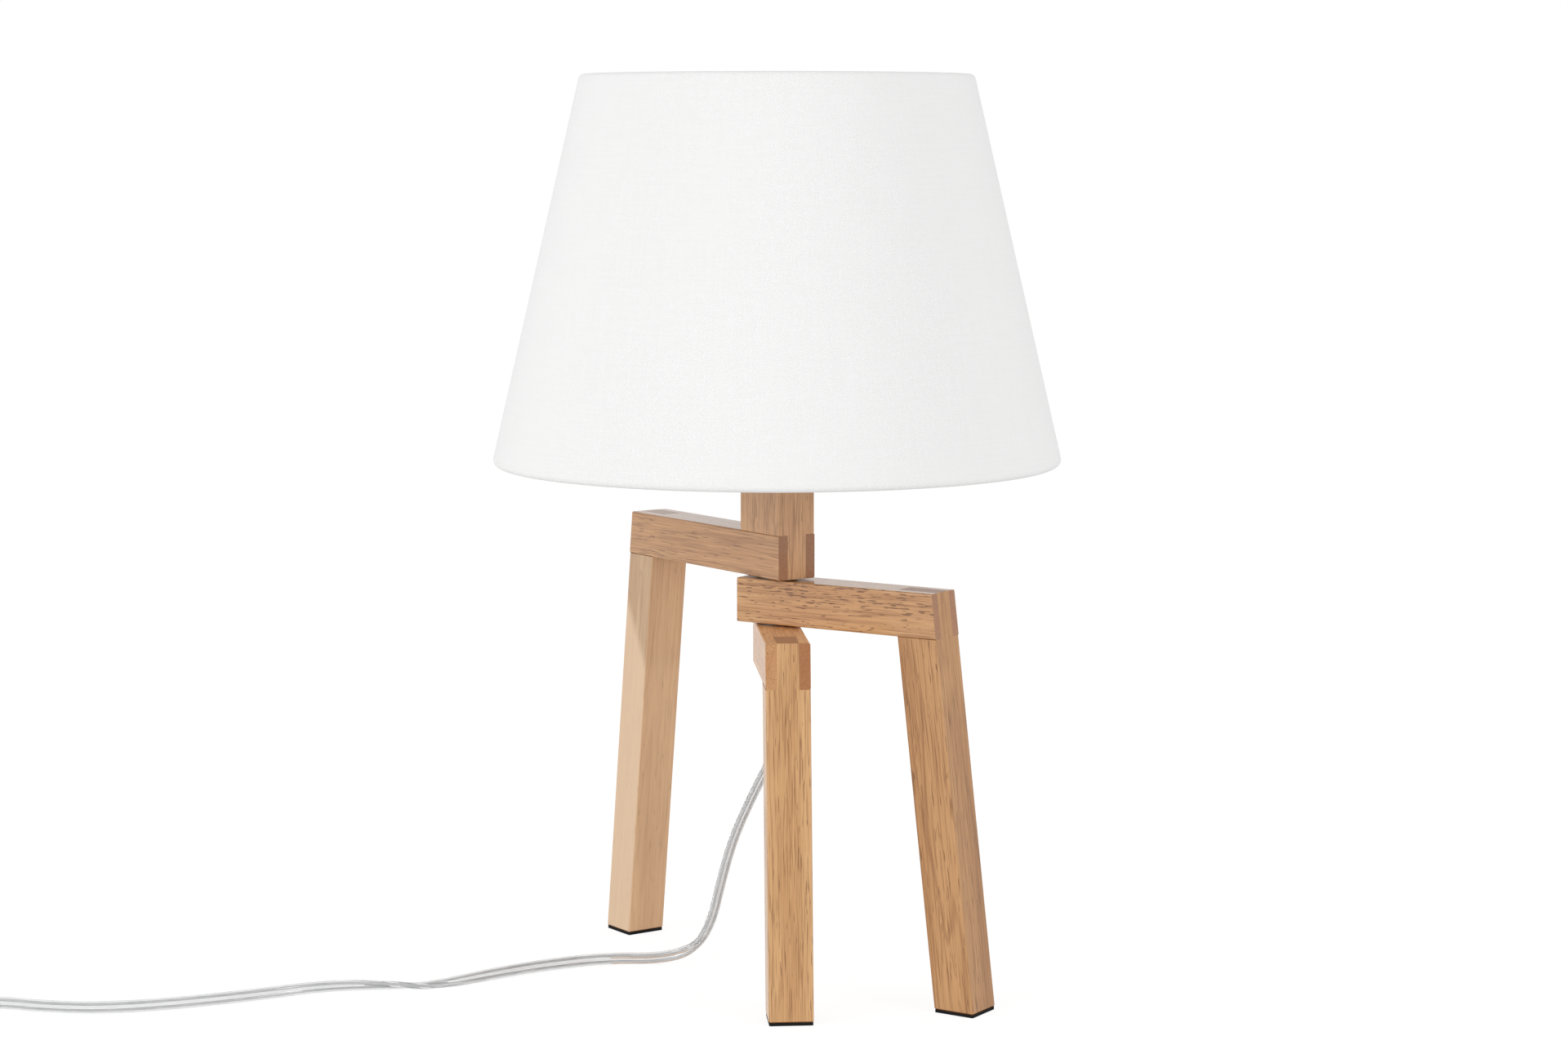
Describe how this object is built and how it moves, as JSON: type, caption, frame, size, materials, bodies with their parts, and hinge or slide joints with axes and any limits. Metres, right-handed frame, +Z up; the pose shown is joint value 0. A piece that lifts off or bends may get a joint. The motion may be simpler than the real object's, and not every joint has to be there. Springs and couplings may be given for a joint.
{
  "type": "bedside lamp",
  "caption": "Small wooden table lamp: a post on stacked swivelling arms with splayed legs under a tapered round fabric shade, with a flat clear cord, in-line switch and plug.",
  "frame": {"origin": "on the axis of the post and shade, at the surface that the feet stand on", "axes": "+Z up along the axis, +X to the right and +Y away from the viewer as the lamp is pictured"},
  "size_m": [0.6315, 0.2586, 0.4177],
  "materials": {
    "wood": "satin clear-finished pale hardwood with short dark pores",
    "foot_pad": "matte black",
    "zinc_steel": "zinc plated",
    "white_plastic": "satin white moulding",
    "socket_ceramic": "matte ceramic",
    "brass": "stamped sheet",
    "nickel": "nickel plated",
    "shade_fabric": "fine plain weave over a stiff backing",
    "white_wire": "white epoxy",
    "clear_cord": "clear jacket over tinned strands",
    "tie": "white band"
  },
  "bodies": {
    "stand": {"post": "wood", "top_arm": "wood", "top_leg": "wood", "top_foot_pad": "foot_pad", "centre_tube": "zinc_steel", "upper_swivel_washer": "zinc_steel", "lower_swivel_washer": "zinc_steel", "clamp_washer": "zinc_steel", "clamp_nut": "zinc_steel", "cord_grip_screw": "zinc_steel", "switch_pivot": "zinc_steel", "switch_screws": "zinc_steel", "cord_grip": "white_plastic", "holder_cap": "white_plastic", "holder_shell": "white_plastic", "shade_clamp_ring": "white_plastic", "switch_base": "white_plastic", "switch_cover": "white_plastic", "plug_body": "white_plastic", "socket_insert": "socket_ceramic", "thread_sleeve": "brass", "centre_contact": "brass", "plug_pins": "nickel", "shade_skin": "shade_fabric", "shade_top_ring": "white_wire", "shade_bottom_ring": "white_wire", "shade_spokes": "white_wire", "fitter_ring": "white_wire", "inner_cord": "clear_cord", "cord_lead": "clear_cord", "cord_coil": "clear_cord", "cord_tie": "tie"},
    "middle_leg_frame": {"middle_arm": "wood", "middle_leg": "wood", "middle_foot_pad": "foot_pad"},
    "lower_leg_frame": {"lower_arm": "wood", "lower_leg": "wood", "lower_foot_pad": "foot_pad"},
    "rocker": {"switch_rocker": "white_plastic"}
  },
  "joints": [
    {"name": "middle_leg_swivel", "type": "hinge", "parent": "stand", "child": "middle_leg_frame", "pos_m": [0, 0, 0.1786], "axis": [0, 0, 1], "range_deg": [-45, 158.5]},
    {"name": "lower_leg_swivel", "type": "hinge", "parent": "stand", "child": "lower_leg_frame", "pos_m": [0, 0, 0.1574], "axis": [0, 0, 1], "range_deg": [-45, 210.6]},
    {"name": "switch_rock", "type": "hinge", "parent": "stand", "child": "rocker", "pos_m": [-0.387, -0.066, 0.0096], "axis": [0, 1, 0], "range_deg": [0, 14]}
  ]
}
